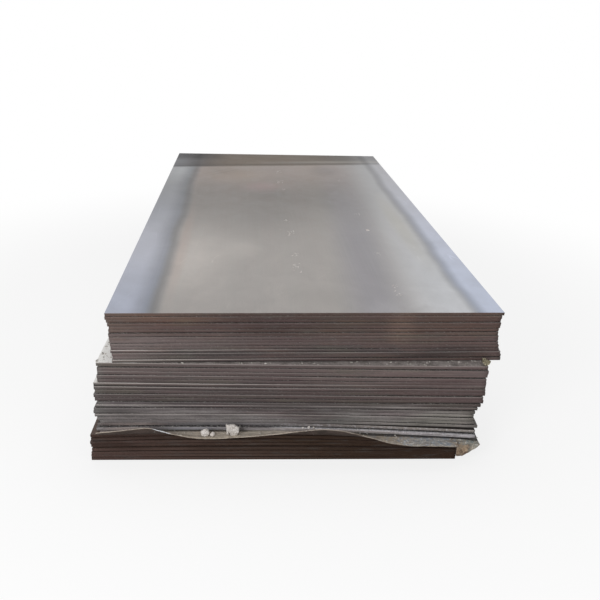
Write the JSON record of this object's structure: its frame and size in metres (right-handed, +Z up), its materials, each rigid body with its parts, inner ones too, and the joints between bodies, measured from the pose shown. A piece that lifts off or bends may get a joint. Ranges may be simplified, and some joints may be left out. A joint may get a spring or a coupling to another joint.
{
  "type": "stack of steel plates",
  "caption": "Flat-lying stack of bare hot-rolled steel plates in slightly offset bundles, with a thin buckled cover sheet between the lower ones.",
  "frame": {"origin": "on the floor, under the middle of the whole stack's bounding box", "axes": "+X across the plates' width, +Y along the plates' length away from the buckled sheet's front edge, +Z up"},
  "size_m": [1.383, 2.605, 0.527],
  "materials": {
    "mill_scale_plate": "blue-grey mill scale, satin, with lighter rims and faint scratches",
    "sheared_edge_plate": "sheared edges, brownish grey, light rust film",
    "dusty_plate": "lighter grey edges with dust",
    "shaded_plate": "dark brown rusted edges",
    "dusty_sheet": "thin sheet, dusty tan and grey, bright cut edge"
  },
  "bodies": {
    "root": {"buckled_cover_sheet": "dusty_sheet", "floor_bundle_plate_01": "shaded_plate", "floor_bundle_plate_02": "shaded_plate", "floor_bundle_plate_03": "shaded_plate", "floor_bundle_plate_04": "shaded_plate", "floor_bundle_plate_05": "shaded_plate", "floor_bundle_plate_06": "shaded_plate", "floor_bundle_plate_07": "shaded_plate", "floor_bundle_plate_08": "shaded_plate", "narrow_bundle_plate_01": "sheared_edge_plate", "narrow_bundle_plate_02": "sheared_edge_plate", "narrow_bundle_plate_03": "sheared_edge_plate", "narrow_bundle_plate_04": "sheared_edge_plate", "narrow_bundle_plate_05": "sheared_edge_plate", "narrow_bundle_plate_06": "sheared_edge_plate", "narrow_bundle_plate_07": "sheared_edge_plate", "pair_bundle_plate_01": "dusty_plate", "pair_bundle_plate_02": "dusty_plate", "thick_bundle_plate_01": "sheared_edge_plate", "thick_bundle_plate_02": "sheared_edge_plate", "thick_bundle_plate_03": "sheared_edge_plate", "thick_bundle_plate_04": "sheared_edge_plate", "thick_bundle_plate_05": "sheared_edge_plate", "thick_bundle_plate_06": "sheared_edge_plate", "thick_bundle_plate_07": "sheared_edge_plate", "thick_bundle_plate_08": "sheared_edge_plate", "thick_bundle_plate_09": "sheared_edge_plate", "thick_bundle_plate_10": "sheared_edge_plate", "top_bundle_plate_01": "mill_scale_plate", "top_bundle_plate_02": "mill_scale_plate", "top_bundle_plate_03": "mill_scale_plate", "top_bundle_plate_04": "mill_scale_plate", "top_bundle_plate_05": "mill_scale_plate", "top_bundle_plate_06": "mill_scale_plate", "top_bundle_plate_07": "mill_scale_plate", "top_bundle_plate_08": "mill_scale_plate", "top_bundle_plate_09": "mill_scale_plate", "top_bundle_plate_10": "mill_scale_plate", "top_bundle_plate_11": "mill_scale_plate", "top_bundle_plate_12": "mill_scale_plate", "top_bundle_plate_13": "mill_scale_plate", "top_bundle_plate_14": "mill_scale_plate", "top_bundle_plate_15": "mill_scale_plate"}
  },
  "joints": []
}
